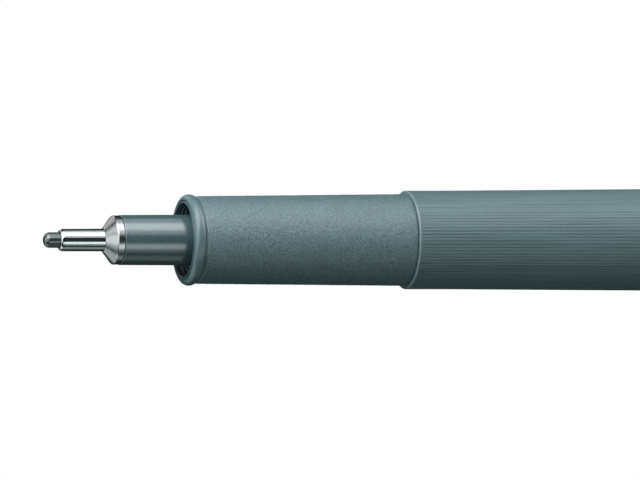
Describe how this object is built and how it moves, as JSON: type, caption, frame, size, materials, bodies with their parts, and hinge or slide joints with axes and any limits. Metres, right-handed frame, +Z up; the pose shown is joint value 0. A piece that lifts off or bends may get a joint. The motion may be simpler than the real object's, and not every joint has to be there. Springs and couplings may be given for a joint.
{
  "type": "technical pen",
  "caption": "Fine-point drawing pen with a metal-clad fibre tip, a textured grip, a grooved barrel and a clipped cap posted on its rear end.",
  "frame": {"origin": "on the ground under the centre of the whole object's box, with the pen lying on its side", "axes": "+X along the pen from the nib to the cap's end, +Z up from the surface it lies on, the clip at the -Y side"},
  "size_m": [0.1698, 0.0138, 0.0111],
  "materials": {
    "nib_fibre": "matte charcoal bonded fibre",
    "polished_steel": "polished drawn steel",
    "turned_steel": "fine turned steel",
    "gloss_holder": "glossy dark grey-green moulded plastic",
    "grained_plastic": "fine spark-eroded grain, grey-green",
    "satin_plastic": "satin, with fine lengthwise grooves, grey-green",
    "inked_fibre": "ink-soaked polyester fibre",
    "clear_film": "clear wrapping film",
    "natural_plastic": "uncoloured plastic tube",
    "post_plastic": "satin grey-green",
    "cap_plastic": "satin, with fine lengthwise grooves, grey-green",
    "liner_plastic": "uncoloured plastic",
    "crown_plastic": "glossy dark grey-green",
    "clip_steel": "fine-brushed spring steel"
  },
  "bodies": {
    "pen": {"writing_nib": "nib_fibre", "tip_sleeve": "polished_steel", "tip_ferrule": "turned_steel", "nib_holder": "gloss_holder", "grip_section": "grained_plastic", "barrel": "satin_plastic", "ink_reservoir": "inked_fibre", "reservoir_film": "clear_film", "breather_tube": "natural_plastic", "rear_plug": "post_plastic"},
    "cap": {"cap_shell": "cap_plastic", "cap_liner": "liner_plastic", "cap_crown": "crown_plastic"},
    "clip": {"clip": "clip_steel"}
  },
  "joints": [
    {"name": "cap_pull", "type": "slide", "parent": "pen", "child": "cap", "axis": [1, 0, 0], "range_m": [0, 0.03]},
    {"name": "clip_flex", "type": "hinge", "parent": "cap", "child": "clip", "pos_m": [0.08165, -0.0039, 0.00284], "axis": [0, -0.4587, 0.8886], "range_deg": [0, 4], "stiffness_Nm_per_rad": 1.5}
  ]
}
